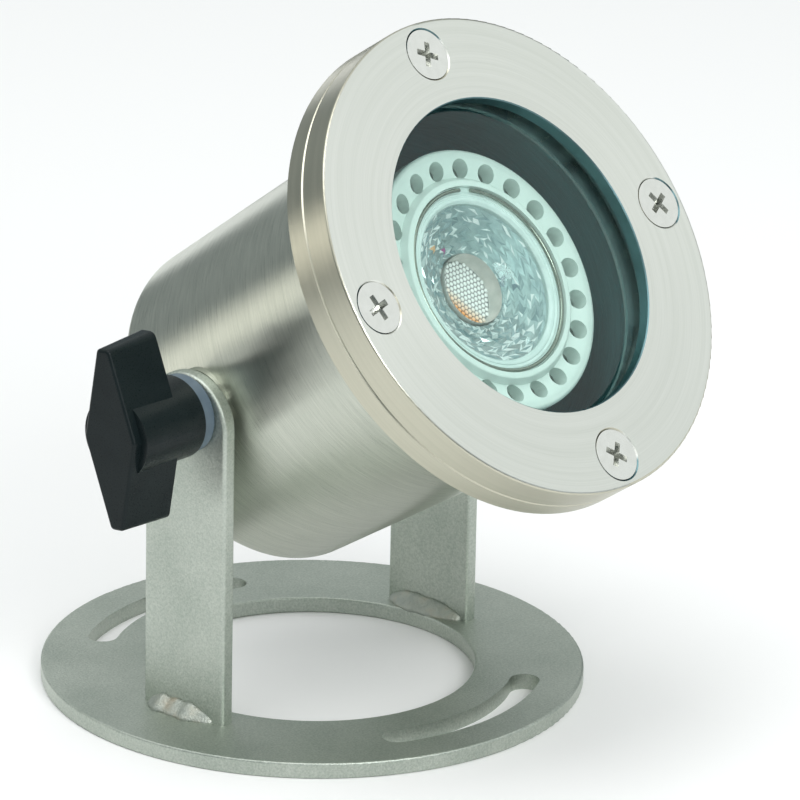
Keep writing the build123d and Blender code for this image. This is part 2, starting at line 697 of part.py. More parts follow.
for name, side in (("a", -1), ("b", 1)):
    with BuildPart() as wire:
        with BuildLine(LAMP_SIDE.offset(side * PIN_HALF_PITCH)) as route:
            FilletPolyline(
                (CONTACT_R, WIRE_D),
                (TERMINAL_Y, WIRE_D),
                (TERMINAL_Y, TERMINAL_FRONT_D - WIRE_GRIP),
                radius=WIRE_BEND_R,
            )
        with BuildSketch(Plane(origin=route.line @ 0, z_dir=route.line % 0)):
            Circle(WIRE_R)
        sweep()
    write(wire, f"lead_wire_{name}")

# ---- cable gland --------------------------------------------------------------------

WASHER_BACK_D = BACK_D - GLAND_WASHER_THICK
HEX_BACK_D = WASHER_BACK_D - GLAND_HEX_THICK
THREAD_END_D = HEX_BACK_D - GLAND_OUTER_THREAD
CAP_FRONT_D = HEX_BACK_D - CAP_CLEAR
CAP_BACK_D = CAP_FRONT_D - CAP_LENGTH

with BuildPart() as gland_washer:
    with BuildSketch(HEAD.offset(WASHER_BACK_D)):
        Circle(GLAND_WASHER_R)
        Circle(GLAND_THREAD_R, mode=Mode.SUBTRACT)
    extrude(amount=GLAND_WASHER_THICK)
write(gland_washer, "gland_washer")

with BuildPart() as gland_body:
    with BuildSketch(HEAD.offset(THREAD_END_D)):
        Circle(GLAND_THREAD_R)
    extrude(amount=GLAND_INNER_END_D - THREAD_END_D)
    with BuildSketch(HEAD.offset(HEX_BACK_D)):
        RegularPolygon(GLAND_FLATS / 2, 6, major_radius=False)
    extrude(amount=GLAND_HEX_THICK)
    with BuildSketch(HEAD.offset(THREAD_END_D)):
        Circle(GLAND_BORE_R)
    extrude(amount=GLAND_INNER_END_D - THREAD_END_D, mode=Mode.SUBTRACT)
    with BuildSketch(HEAD.offset(THREAD_END_D)):
        Circle(SEAL_R)
    extrude(amount=SEAL_LENGTH, mode=Mode.SUBTRACT)
write(gland_body, "gland_body")

with BuildPart() as gland_seal:
    with BuildSketch(HEAD.offset(THREAD_END_D)):
        Circle(SEAL_R)
        Circle(SEAL_BORE_R, mode=Mode.SUBTRACT)
    extrude(amount=SEAL_LENGTH)
write(gland_seal, "gland_seal")

with BuildPart() as gland_locknut:
    with BuildSketch(HEAD.offset(BACK_INNER_D)):
        RegularPolygon(LOCKNUT_FLATS / 2, 6, major_radius=False)
        Circle(GLAND_THREAD_R, mode=Mode.SUBTRACT)
    extrude(amount=LOCKNUT_THICK)
write(gland_locknut, "gland_locknut")

with BuildPart() as gland_cap:
    with BuildSketch(HEAD.offset(CAP_FRONT_D)):
        RegularPolygon(GLAND_FLATS / 2, 6, major_radius=False)
    extrude(amount=-CAP_HEX)
    add(turned([
        (0, CAP_FRONT_D - CAP_HEX),
        (GLAND_FLATS / 2 - CAP_NECK, CAP_FRONT_D - CAP_HEX),
        (GLAND_FLATS / 2 - CAP_SHOULDER, CAP_BACK_D + CAP_DOME),
        (CAP_DOME_R, CAP_BACK_D),
        (0, CAP_BACK_D),
    ]).part)
    with BuildSketch(HEAD.offset(CAP_FRONT_D)):
        Circle(GLAND_THREAD_R)
    extrude(amount=THREAD_END_D - CAP_FRONT_D, mode=Mode.SUBTRACT)
    with BuildSketch(HEAD.offset(CAP_FRONT_D)):
        Circle(CAP_MOUTH_R)
    extrude(amount=-CAP_LENGTH, mode=Mode.SUBTRACT)
write(gland_cap, "gland_cap")

# ---- clamps -------------------------------------------------------------------------

WASHER_OUTER_X = ARM_OUTER_X + WASHER_THICK

for name, side in SIDES.items():
    with BuildPart() as washer:
        with BuildSketch(side.offset(ARM_OUTER_X)):
            Circle(WASHER_R)
            Circle(STUD_R + STUD_RUNNING, mode=Mode.SUBTRACT)
        extrude(amount=WASHER_THICK)
        rims = washer.edges().filter_by(GeomType.CIRCLE).sort_by(SortBy.RADIUS)[-2:]
        chamfer(rims, length=WASHER_EDGE)
    write(washer, f"{name}_washer")

    with BuildPart() as stud:
        with BuildSketch(side.offset(STUD_INNER_X)):
            Circle(STUD_R)
        extrude(amount=STUD_OUTER_X - STUD_INNER_X)
    write(stud, f"{name}_stud")

    with BuildPart() as knob:
        with BuildSketch(side.offset(WING_BACK_X)) as wing:
            with BuildLine(Rot(0, 0, WING_TURN)):
                Polyline(
                    (WING_TIP_HALF, WING_HALF_LENGTH),
                    (-WING_TIP_HALF, WING_HALF_LENGTH),
                    (-WING_HALF_WIDTH, 0),
                    (-WING_TIP_HALF, -WING_HALF_LENGTH),
                    (WING_TIP_HALF, -WING_HALF_LENGTH),
                    (WING_HALF_WIDTH, 0),
                    close=True,
                )
            make_face()
            fillet(wing.vertices(), radius=WING_CORNER)
        extrude(amount=KNOB_FACE_X - WING_BACK_X, taper=WING_DRAFT)
        wing_face = knob.faces().sort_by(Axis(side.origin, side.z_dir))[-1]
        fillet(wing_face.edges(), radius=KNOB_EDGE)
        with BuildSketch(side.offset(WASHER_OUTER_X)):
            Circle(HUB_R)
        extrude(amount=HUB_FACE_X - WASHER_OUTER_X, taper=HUB_DRAFT)
        with BuildSketch(side.offset(WASHER_OUTER_X)):
            Circle(STUD_R)
        extrude(amount=STUD_OUTER_X - WASHER_OUTER_X, mode=Mode.SUBTRACT)
    write(knob, f"{name}_knob")
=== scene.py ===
import json
import math
import random

import bmesh
import bpy
from mathutils import Matrix, Vector


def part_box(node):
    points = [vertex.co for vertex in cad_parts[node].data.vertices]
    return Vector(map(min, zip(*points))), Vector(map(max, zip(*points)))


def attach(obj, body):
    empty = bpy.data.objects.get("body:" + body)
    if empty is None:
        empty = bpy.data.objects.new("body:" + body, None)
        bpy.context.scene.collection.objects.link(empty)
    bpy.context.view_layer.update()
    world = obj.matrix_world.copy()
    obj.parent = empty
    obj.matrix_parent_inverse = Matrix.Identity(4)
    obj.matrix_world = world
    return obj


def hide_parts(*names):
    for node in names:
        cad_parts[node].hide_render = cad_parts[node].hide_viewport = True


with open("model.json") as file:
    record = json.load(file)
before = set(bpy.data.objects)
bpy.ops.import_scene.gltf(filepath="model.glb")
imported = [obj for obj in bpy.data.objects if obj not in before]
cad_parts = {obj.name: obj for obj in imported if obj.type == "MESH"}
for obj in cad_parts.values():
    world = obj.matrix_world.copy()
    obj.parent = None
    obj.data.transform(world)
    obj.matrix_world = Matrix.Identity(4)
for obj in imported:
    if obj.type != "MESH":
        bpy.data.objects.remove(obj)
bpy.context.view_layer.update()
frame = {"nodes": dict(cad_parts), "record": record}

# ---- frame of the lamp head ---------------------------------------------------------

MM = 0.001
RECORD = frame["record"]
CABLE_ENTRY = next(m for m in RECORD["mounts"] if m["name"] == "cable_entry")
RIGHT = Vector((1, 0, 0))
BEAM = -Vector(CABLE_ENTRY["axis"]).normalized()
UP = BEAM.cross(RIGHT)
ENTRY = Vector(CABLE_ENTRY["pos_m"])
CENTRE = ENTRY - BEAM * (ENTRY.y / BEAM.y)      # where the beam's axis passes between the arms


def span(node, way):
    """Lowest and highest place of a CAD node along a direction from the centre, in mm."""
    spots = [(v.co - CENTRE).dot(way) / MM for v in frame["nodes"][node].data.vertices]
    return min(spots), max(spots)


LAMP_CENTRE = CENTRE + UP * sum(span("lamp_front", UP)) / 2 * MM


def on_lamp(x, y, d):
    """A point of the lamp: x right, y up in its face, d along the beam from the centre, in mm."""
    return LAMP_CENTRE + (RIGHT * x + UP * y + BEAM * d) * MM


def radius_of(node):
    """Half of a CAD node's width, in mm."""
    low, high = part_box(node)
    return (high[0] - low[0]) / 2 / MM


# ---- material tools -----------------------------------------------------------------

FACE_PITCH = 1.13          # lathe lines lie this much closer across a flat face


class Look:
    """A Principled material with short calls for the nodes that feed it."""

    def __init__(self, name, colour, **values):
        self.material = bpy.data.materials.new(name)
        self.material.use_nodes = True
        self.tree = self.material.node_tree
        self.shader = self.tree.nodes["Principled BSDF"]
        self.shader.inputs["Base Color"].default_value = (*colour, 1)
        for key, value in values.items():
            self.shader.inputs[key.replace("_", " ")].default_value = value

    def node(self, kind, **settings):
        made = self.tree.nodes.new("ShaderNode" + kind)
        for key, value in settings.items():
            setattr(made, key, value)
        return made

    def link(self, source, target):
        self.tree.links.new(source, target)

    def feed(self, target, value):
        """Sets a socket, or links it if value is a socket itself."""
        if isinstance(value, bpy.types.NodeSocket):
            self.tree.links.new(value, target)
        else:
            target.default_value = value

    def math(self, operation, first, second):
        made = self.node("Math", operation=operation)
        self.feed(made.inputs[0], first)
        self.feed(made.inputs[1], second)
        return made.outputs[0]

    def vector(self, operation, first, second=(0, 0, 0)):
        made = self.node("VectorMath", operation=operation)
        self.feed(made.inputs[0], first)
        self.feed(made.inputs[1], second)
        return made.outputs["Value" if operation in ("DOT_PRODUCT", "LENGTH") else 0]

    def scale(self, first, factor):
        made = self.node("VectorMath", operation="SCALE")
        self.feed(made.inputs[0], first)
        self.feed(made.inputs["Scale"], factor)
        return made.outputs[0]

    def place(self):
        """Object coordinates, in millimetres."""
        coords = self.node("TexCoord")
        return self.scale(coords.outputs["Object"], 1 / MM)

    def noise(self, vector, scale, detail=3.0, roughness=0.5):
        made = self.node("TexNoise")
        self.link(vector, made.inputs["Vector"])
        made.inputs["Scale"].default_value = scale
        made.inputs["Detail"].default_value = detail
        made.inputs["Roughness"].default_value = roughness
        return made.outputs["Fac"]

    def spread(self, value, low, high, from_low=0.3, from_high=0.7):
        """Maps a value on to a range. The middle of a noise is the usual part to start from."""
        made = self.node("MapRange")
        self.link(value, made.inputs["Value"])
        made.inputs["From Min"].default_value = from_low
        made.inputs["From Max"].default_value = from_high
        made.inputs["To Min"].default_value = low
        made.inputs["To Max"].default_value = high
        return made.outputs[0]

    def ramp(self, value, *stops):
        made = self.node("ValToRGB")
        self.link(value, made.inputs[0])
        ramp = made.color_ramp
        while len(ramp.elements) < len(stops):
            ramp.elements.new(0.5)
        for element, (place, colour) in zip(ramp.elements, stops):
            element.position = place
            element.color = (*colour, 1)
        return made.outputs[0]

    def bump(self, height, distance, strength):
        made = self.node("Bump")
        self.link(height, made.inputs["Height"])
        made.inputs["Distance"].default_value = distance
        made.inputs["Strength"].default_value = strength
        return made.outputs[0]

    def set(self, key, value):
        self.link(value, self.shader.inputs[key])

    def turning(self, centre=CENTRE):
        """(unit radial vector, radius, distance along the beam) about an axis, in mm."""
        spot = self.vector("SUBTRACT", self.place(), tuple(centre / MM))
        along = self.vector("DOT_PRODUCT", spot, tuple(BEAM))
        radial = self.vector("SUBTRACT", spot, self.scale(tuple(BEAM), along))
        return self.vector("NORMALIZE", radial), self.vector("LENGTH", radial), along

    def side_of_turning(self):
        """0 on faces that look in at the beam's axis, 0.5 along it, 1 away from it."""
        coords = self.node("TexCoord")
        facing = self.vector("DOT_PRODUCT", self.turning()[0], coords.outputs["Normal"])
        return self.spread(facing, 0.0, 1.0, -1.0, 1.0)

    def lathe_lines(self, turns, pitch):
        """Coordinates whose noise runs in long lines round the axis."""
        radial, radius, along = self.turning()
        down = self.math("MULTIPLY", along, pitch)
        out = self.math("MULTIPLY", radius, pitch * FACE_PITCH)
        level = self.scale(tuple(BEAM), self.math("ADD", down, out))
        return self.vector("ADD", self.scale(radial, turns), level)

    def grain_across(self):
        """Turns the anisotropic highlight across the lathe lines."""
        coords = self.node("TexCoord")
        circle = self.vector("CROSS_PRODUCT", self.turning()[0], tuple(BEAM))
        across = self.vector("CROSS_PRODUCT", circle, coords.outputs["Normal"])
        turn = self.node("VectorTransform", vector_type="VECTOR",
                         convert_from="OBJECT", convert_to="WORLD")
        self.link(across, turn.inputs[0])
        self.set("Tangent", turn.outputs[0])


# ---- materials ----------------------------------------------------------------------

def blasted_steel():
    look = Look("blasted_steel", (0.5, 0.54, 0.49), Metallic=1.0, Roughness=0.42)
    spot = look.place()
    cloud = look.noise(spot, 0.06, 3.0)
    grain = look.noise(spot, 2.6, 2.0, 0.6)
    tone = look.math("ADD", look.spread(cloud, 0.0, 0.35), look.spread(grain, 0.0, 0.65))
    look.set("Base Color", look.ramp(tone, (0.1, (0.37, 0.42, 0.37)), (0.9, (0.58, 0.62, 0.56))))
    look.set("Roughness", look.spread(grain, 0.38, 0.5))
    look.set("Normal", look.bump(grain, 0.0001, 0.8))
    return look.material


def brushed_steel():
    """Brushed round the axis. Painted shade: the inside of the can, behind the window, is painted dark
    and bluish.
    """
    look = Look("brushed_steel", (0.6, 0.59, 0.54), Metallic=1.0, Roughness=0.3, Anisotropic=0.75)
    fine = look.noise(look.lathe_lines(5.0, 14.0), 1.0, 3.0, 0.65)
    coarse = look.noise(look.lathe_lines(1.2, 1.8), 1.0, 3.0, 0.6)
    tone = look.math("ADD", look.spread(fine, 0.0, 0.75), look.spread(coarse, 0.0, 0.25))
    place = look.side_of_turning()
    skin = look.ramp(tone, (0.05, (0.43, 0.46, 0.40)), (0.95, (0.66, 0.68, 0.60)))
    # painted shade: faces that look in at the axis, inside the can, are darkened and made bluish, in
    # the base colour and in the specular tint
    tint = look.ramp(place, (0.3, (0.4, 0.85, 1.0)), (0.36, (1, 1, 1)))
    look.set("Base Color", look.vector("MULTIPLY", skin, tint))
    look.set("Specular Tint", look.ramp(place, (0.3, (0.4, 0.8, 1.0)), (0.36, (1, 1, 1))))
    look.set("Roughness", look.spread(fine, 0.26, 0.36))
    look.set("Normal", look.bump(fine, 0.00002, 0.35))
    look.grain_across()
    return look.material


def turned_steel():
    look = Look("turned_steel", (0.72, 0.73, 0.7), Metallic=1.0, Roughness=0.3, Anisotropic=0.55)
    fine = look.noise(look.lathe_lines(1.5, 7.0), 1.0, 3.0, 0.6)
    coarse = look.noise(look.lathe_lines(0.8, 1.1), 1.0, 3.0, 0.6)
    tone = look.math("ADD", look.spread(fine, 0.0, 0.5), look.spread(coarse, 0.0, 0.5))
    place = look.side_of_turning()
    skin = look.ramp(tone, (0.1, (0.67, 0.69, 0.64)), (0.9, (0.76, 0.775, 0.73)))
    # painted shade: faces that look in at the axis (the walls of the hole) are darkened to teal in the
    # colour and in the specular tint, and faces that look away from it (the outer sides) are painted a
    # darker warm grey
    tint = look.ramp(place, (0.3, (0.16, 0.27, 0.31)), (0.36, (1, 1, 1)), (0.66, (1, 1, 1)),
                     (0.76, (0.74, 0.71, 0.62)))
    look.set("Base Color", look.vector("MULTIPLY", skin, tint))
    look.set("Specular Tint", look.ramp(place, (0.3, (0.3, 0.52, 0.52)), (0.36, (1, 1, 1))))
    look.set("Roughness", look.spread(fine, 0.28, 0.36))
    look.set("Normal", look.bump(fine, 0.00002, 0.3))
    look.grain_across()
    return look.material


def polished_steel():
    """Bright screws. Painted shade: the wire ring of the lamp, near its axis inside the can, is painted
    darker.
    """
    look = Look("polished_steel", (0.7, 0.71, 0.69), Metallic=1.0, Roughness=0.2)
    wear = look.noise(look.place(), 0.5, 3.0)
    skin = look.ramp(wear, (0.3, (0.68, 0.69, 0.66)), (0.7, (0.74, 0.75, 0.72)))
    # painted shade on the wire ring, deep inside the can near the lamp's axis
    nearness = look.spread(look.turning(LAMP_CENTRE)[1], 0.0, 1.0, 18.0, 22.0)
    tint = look.ramp(nearness, (0.4, (0.42, 0.45, 0.40)), (0.6, (1, 1, 1)))
    look.set("Base Color", look.vector("MULTIPLY", skin, tint))
    look.set("Roughness", look.spread(wear, 0.17, 0.24))
    return look.material


def weld_steel():
    """The blasted grey of the plates, with a slight tan where the heat was."""
    look = Look("weld_steel", (0.4, 0.43, 0.38), Metallic=1.0, Roughness=0.5)
    spot = look.place()
    heat = look.noise(spot, 0.22, 3.0)
    grain = look.noise(spot, 2.6, 2.0, 0.6)
    look.set("Base Color", look.ramp(heat, (0.3, (0.36, 0.40, 0.37)), (0.52, (0.47, 0.50, 0.45)),
                                     (0.7, (0.54, 0.50, 0.41))))
    look.set("Roughness", look.spread(grain, 0.46, 0.58))
    look.set("Normal", look.bump(grain, 0.0002, 0.9))
    return look.material


def clear_film(name, through, shine, roughness, bending):
    """Clear from behind. From in front it mirrors as much as a surface of this index does."""
    look = Look(name, through)
    clear = look.node("BsdfTransparent")
    clear.inputs["Color"].default_value = (*through, 1)
    gloss = look.node("BsdfGlossy")
    gloss.inputs["Roughness"].default_value = roughness
    gloss.inputs["Color"].default_value = (*shine, 1)
    rim = look.node("Fresnel")
    rim.inputs["IOR"].default_value = bending
    sides = look.node("NewGeometry")
    outside = look.math("SUBTRACT", 1.0, sides.outputs["Backfacing"])
    both = look.node("MixShader")
    look.link(look.math("MULTIPLY", rim.outputs[0], outside), both.inputs[0])
    look.link(clear.outputs[0], both.inputs[1])
    look.link(gloss.outputs[0], both.inputs[2])
    look.tree.nodes.remove(look.shader)
    look.link(both.outputs[0], look.tree.nodes["Material Output"].inputs["Surface"])
    return look.material


def plastic(name, low, high, roughness, grain=2.5, depth=0.00003, **values):
    """Moulded plastic: two close tones, a fine skin and a little wear in the gloss."""
    look = Look(name, low, **values)
    spot = look.place()
    cloud = look.noise(spot, 0.25, 3.0)
    skin = look.noise(spot, grain, 2.0)
    look.set("Base Color", look.ramp(cloud, (0.3, low), (0.7, high)))
    look.set("Roughness", look.spread(skin, roughness - 0.05, roughness + 0.07))
    look.set("Normal", look.bump(skin, depth, 0.4))
    return look.material


def metal(name, low, high, roughness):
    """Plain metal of the inner pieces: two close tones and a little wear."""
    look = Look(name, low, Metallic=1.0)
    cloud = look.noise(look.place(), 1.2, 4.0)
    look.set("Base Color", look.ramp(cloud, (0.3, low), (0.7, high)))
    look.set("Roughness", look.spread(cloud, roughness - 0.06, roughness + 0.08))
    return look.material


LOOKS = {
    "blasted_steel": blasted_steel(),
    "brushed_steel": brushed_steel(),
    "turned_steel": turned_steel(),
    "screw_steel": polished_steel(),
    "weld_steel": weld_steel(),
    "window_glass": clear_film("window_glass", (0.94, 0.985, 0.975), (0.9, 1.0, 1.0), 0.03, 1.45),
    "silicone": plastic("silicone", (0.16, 0.24, 0.24), (0.22, 0.31, 0.3), 0.42),
    "lamp_plastic": plastic("lamp_plastic", (0.70, 0.81, 0.76), (0.75, 0.85, 0.80), 0.4),
    "lamp_lens": plastic("lamp_lens", (0.62, 0.74, 0.71), (0.72, 0.83, 0.8), 0.12),
    "plated_brass": metal("plated_brass", (0.62, 0.61, 0.58), (0.74, 0.73, 0.7), 0.24),
    "heatsink_aluminium": metal("heatsink_aluminium", (0.7, 0.7, 0.71), (0.8, 0.8, 0.81), 0.35),
    "phosphor": plastic("phosphor", (0.85, 0.5, 0.08), (0.95, 0.62, 0.14), 0.5),
    "circuit_board": plastic("circuit_board", (0.02, 0.12, 0.05), (0.03, 0.17, 0.07), 0.4),
    "holder_ceramic": plastic("holder_ceramic", (0.78, 0.76, 0.7), (0.86, 0.84, 0.79), 0.55),
    "bracket_steel": metal("bracket_steel", (0.52, 0.52, 0.5), (0.64, 0.64, 0.62), 0.34),
    "terminal_plastic": plastic("terminal_plastic", (0.76, 0.76, 0.72), (0.82, 0.82, 0.78), 0.4),
    "wire_insulation": plastic("wire_insulation", (0.74, 0.73, 0.7), (0.82, 0.81, 0.77), 0.45),
    "knob_plastic": plastic("knob_plastic", (0.006, 0.011, 0.012), (0.009, 0.015, 0.016), 0.3,
                            5.0, 0.00001, Specular_IOR_Level=0.17),
    "nylon": plastic("nylon", (0.09, 0.13, 0.17), (0.13, 0.18, 0.22), 0.4),
}

for part in RECORD["subparts"]:
    node = frame["nodes"][part["node"]]
    for holder in node.material_slots:
        holder.material = LOOKS[part["material_slot"]]

# ---- mesh tools ---------------------------------------------------------------------

def add_piece(name, bm, body, slot, replaced=(), smooth=True):
    """Turns a bmesh into a visual piece that rides on a body and may replace CAD nodes."""
    mesh = bpy.data.meshes.new(name)
    bm.normal_update()
    bm.to_mesh(mesh)
    bm.free()
    piece = bpy.data.objects.new(name, mesh)
    bpy.context.scene.collection.objects.link(piece)
    for face in mesh.polygons:
        face.use_smooth = smooth
    mesh.materials.append(LOOKS[slot])
    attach(piece, body)
    if replaced:
        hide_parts(*replaced)
    return piece


# ---- weld beads ---------------------------------------------------------------------

BEAD_STEPS = 64
BEAD_ARC = 10
BEAD_SINK = 0.15           # how deep its skirt goes into the plates, mm
BEAD_END_POWER = 3.2       # how blunt the ends are
BEAD_BELLY = 0.2           # how much the bead's arc is flattened
BEAD_SHIFT = 0.4           # share of the missing length that it lies back from the middle
BEAD_WANDER = 0.2          # how far it strays along the corner, mm
TAPER_LENGTH = 0.6         # share of the bead over which it tapers
BEAD_SEED = 11
SEED_STEP = 5
WANDER_SEED = 2
WOBBLE_PACES = (0.35, 0.8, 1.9)
WOBBLE_SUM = 1.5
# arm, side of the arm, share of the length, reach on the ring, height on the arm, lumpiness,
# taper towards the front
BEADS = (("left_arm", -1, 0.84, 3.1, 2.9, 0.24, 0.45), ("left_arm", 1, 0.9, 1.9, 1.7, 0.08, 0.2),
         ("right_arm", -1, 0.95, 2.9, 2.6, 0.1, 0.15), ("right_arm", 1, 0.9, 2.2, 1.9, 0.1, 0.3))


def wobble(seed, value):
    """A smooth, repeatable wander between about -1 and 1."""
    waves = random.Random(seed)
    total = 0.0
    for pace in WOBBLE_PACES:
        total += math.sin(value * pace + waves.uniform(0, math.tau)) / (1 + pace)
    return total / WOBBLE_SUM


def add_bead(bm, corner, away, seed, half_length, share_long, reach, height, lumps, taper):
    """One bead along Y in the corner between a plate face and the ring."""
    rows = []
    for step in range(BEAD_STEPS + 1):
        share = step / BEAD_STEPS
        y = (share * 2 - 1) * half_length * share_long + half_length * (1 - share_long) * BEAD_SHIFT
        end = math.sqrt(max(0.0, 1 - abs(share * 2 - 1) ** BEAD_END_POWER))
        end *= 1 - taper * max(0.0, TAPER_LENGTH - share) / TAPER_LENGTH
        size = end * (1 + lumps * wobble(seed, y))
        row = []
        for part in range(BEAD_ARC + 1):
            turn = math.pi / 2 * part / BEAD_ARC
            belly = 1 - BEAD_BELLY * math.sin(2 * turn)
            out = reach * size * math.cos(turn) * belly - (BEAD_SINK if part == BEAD_ARC else 0)
            rise = height * size * math.sin(turn) * belly - (BEAD_SINK if part == 0 else 0)
            along = y + BEAD_WANDER * wobble(seed + WANDER_SEED, y)
            row.append(bm.verts.new(corner + Vector((away * out, along, rise)) * MM))
        row.append(bm.verts.new(corner + Vector((-away * BEAD_SINK, y, -BEAD_SINK)) * MM))
        rows.append(row)
    for first, second in zip(rows, rows[1:]):
        for place in range(len(first)):
            after = (place + 1) % len(first)
            bm.faces.new((first[place], first[after], second[after], second[place]))
    for row in (rows[0], rows[-1]):
        bm.faces.new(row)


def add_welds():
    """Both beads of each arm, one on each face."""
    low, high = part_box("arm_welds")
    bm = bmesh.new()
    half = (high[1] - low[1]) / 2 / MM
    for number, (arm, away, *shape) in enumerate(BEADS):
        inner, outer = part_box(arm)
        face_x = inner[0] if away < 0 else outer[0]
        corner = Vector((face_x, 0, low[2]))
        add_bead(bm, corner, away, BEAD_SEED + SEED_STEP * number, half, *shape)
    bmesh.ops.recalc_face_normals(bm, faces=bm.faces)
    add_piece("weld_beads", bm, "base", "weld_steel", ["arm_welds"])


# ---- lamp optic ---------------------------------------------------------------------

LENS_FACE = span("lamp_lens", BEAM)[1]
LENS_R = radius_of("lamp_lens")
LENS_RIM = 1.4             # thickness of the lens's flange
LENS_CORNER = 0.1
LATHE_STEPS = 128
CORNER_STEPS = 4

BOWL_R = 15.3              # mouth of the lens's bowl
BOWL_LIP = 0.5             # broken edge of the mouth
GROOVES = (15.8, 16.5)     # inner edges of the grooves in the flange
GROOVE_WIDTH = 0.4
GROOVE_SLOPE = 0.1
GROOVE_DEPTH = 0.16

EYE_R = 6.6
EYE_DEPTH = 7.0
EYE_FLOOR = LENS_FACE - EYE_DEPTH
EYE_TAPER = 0.05
EYE_CORNER = 0.2
EYE_FOOT = 0.3             # the floor starts this far inside the wall

FUNNEL_FOOT = LENS_FACE - 3.7
COVER_STEPS = 14
COVER_GAP = 0.4            # from the mouth of the bowl to the cover
COVER_SUNK = 0.45
COVER_THICK = 0.25
COVER_CURVE = 1.6

CONE_FOOT = FUNNEL_FOOT - 0.9
CONE_START = 0.3           # from the eye to the first facets
CONE_MARGIN = 0.5          # the cone is this much narrower than from the eye to the mouth
CONE_SUNK = 1.1
CONE_CURVE = 1.2

FACET_SEED = 5
FACET_ROWS = 12
FACETS_ROUND = 60
TURN_DRIFT = 0.3           # how far a corner strays: share of a step, then radius and depth in mm
RADIUS_DRIFT = 0.25
DEPTH_DRIFT = 0.42
EDGE_DRIFT = 0.3           # share of that on the first and the last row
CALM_TURN = math.radians(20)
CALM_SHAPE = 0.75          # how much less the corners stray on the calm side
CALM_TONE = 0.8            # how much rarer the painted glints and the painted dark reflections are there
# shares of the facets painted with a glint and with a dark reflection
PAINTED_GLINT_SHARE = 0.24
PAINTED_DARK_REFLECTION_SHARE = 0.26
FACET_GLOSS = 0.15

# material places, after the mirror's own, with the two tones of each: painted glints, painted shadow
# and painted dark reflections
FACET_TONES = (("facet_painted_magenta_glint", (0.5, 0.1, 0.32), (0.62, 0.2, 0.42)),
               ("facet_painted_orange_glint", (0.95, 0.5, 0.25), (1.0, 0.66, 0.4)),
               ("facet_shadow", (0.16, 0.24, 0.28), (0.26, 0.34, 0.38)),
               ("facet_painted_glint", (0.9, 0.95, 0.95), (1.0, 1.0, 1.0)),
               ("facet_painted_dark_reflection", (0.24, 0.34, 0.36), (0.4, 0.5, 0.52)))
MAGENTA_GLINT, ORANGE_GLINT, SHADOW, PAINTED_GLINT, PAINTED_DARK_REFLECTION = range(1, len(FACET_TONES) + 1)
# spots painted with a coloured glint and spots painted with shadow: radius, angle from the right in
# degrees, material place
CAUGHT = ((8.3, 107, MAGENTA_GLINT), (10.9, 124, ORANGE_GLINT),
          (7.9, -7, SHADOW), (8.4, -3, SHADOW), (10.3, -13, SHADOW))
CAUGHT_FACES = 3

HEX = 6
CELL = 0.93                # small lenses of the eye, from centre to centre
CELL_MARGIN = 0.35         # they stop this far inside the eye
CELL_RINGS = ((1.0, 0.0), (0.78, 0.2), (0.4, 0.32))   # (share of the size, height)
LOWER_LEFT = tuple((-RIGHT * 0.8 - UP * 0.6).normalized())
UPPER_RIGHT = tuple((RIGHT * 0.94 + UP * 0.34).normalized())


def at_angle(radius, turn, d):
    """A point of the lamp, from its radius, its angle from the right and its distance."""
    return on_lamp(radius * math.cos(turn), radius * math.sin(turn), d)


def lathe(bm, profile, closed=False):
    """Turns (radius, distance) points about the lamp's axis into faces."""
    rings = []
    for radius, d in profile:
        ring = []
        for step in range(LATHE_STEPS):
            ring.append(bm.verts.new(at_angle(radius, math.tau * step / LATHE_STEPS, d)))
        rings.append(ring)
    if closed:
        rings.append(rings[0])
    for inner, outer in zip(rings, rings[1:]):
        for step in range(LATHE_STEPS):
            after = (step + 1) % LATHE_STEPS
            bm.faces.new((inner[step], inner[after], outer[after], outer[step]))


def round_profile(points, radius):
    """A closed outline with its corners rounded."""
    result = []
    count = len(points)
    for place in range(count):
        before = Vector(points[place - 1])
        here = Vector(points[place])
        after = Vector(points[(place + 1) % count])
        reach = min(radius, (before - here).length / 2.1, (after - here).length / 2.1)
        start = here + (before - here).normalized() * reach
        end = here + (after - here).normalized() * reach
        for step in range(CORNER_STEPS + 1):
            share = step / CORNER_STEPS
            spot = start * (1 - share) ** 2 + here * 2 * share * (1 - share) + end * share ** 2
            result.append(tuple(spot))
    return result


def add_lens_rim():
    """The clear flange of the lens, with its front grooves."""
    outline = [(BOWL_R - BOWL_LIP, LENS_FACE - BOWL_LIP), (BOWL_R, LENS_FACE)]
    for groove in GROOVES:
        outline += [(groove, LENS_FACE), (groove + GROOVE_SLOPE, LENS_FACE - GROOVE_DEPTH),
                    (groove + GROOVE_WIDTH - GROOVE_SLOPE, LENS_FACE - GROOVE_DEPTH),
                    (groove + GROOVE_WIDTH, LENS_FACE)]
    outline += [(LENS_R, LENS_FACE), (LENS_R, LENS_FACE - LENS_RIM),
                (BOWL_R - BOWL_LIP, LENS_FACE - LENS_RIM)]
    bm = bmesh.new()
    lathe(bm, round_profile(outline, LENS_CORNER), closed=True)
    bmesh.ops.recalc_face_normals(bm, faces=bm.faces)
    add_piece("lens_rim", bm, "head", "lamp_lens", ["lamp_lens"])


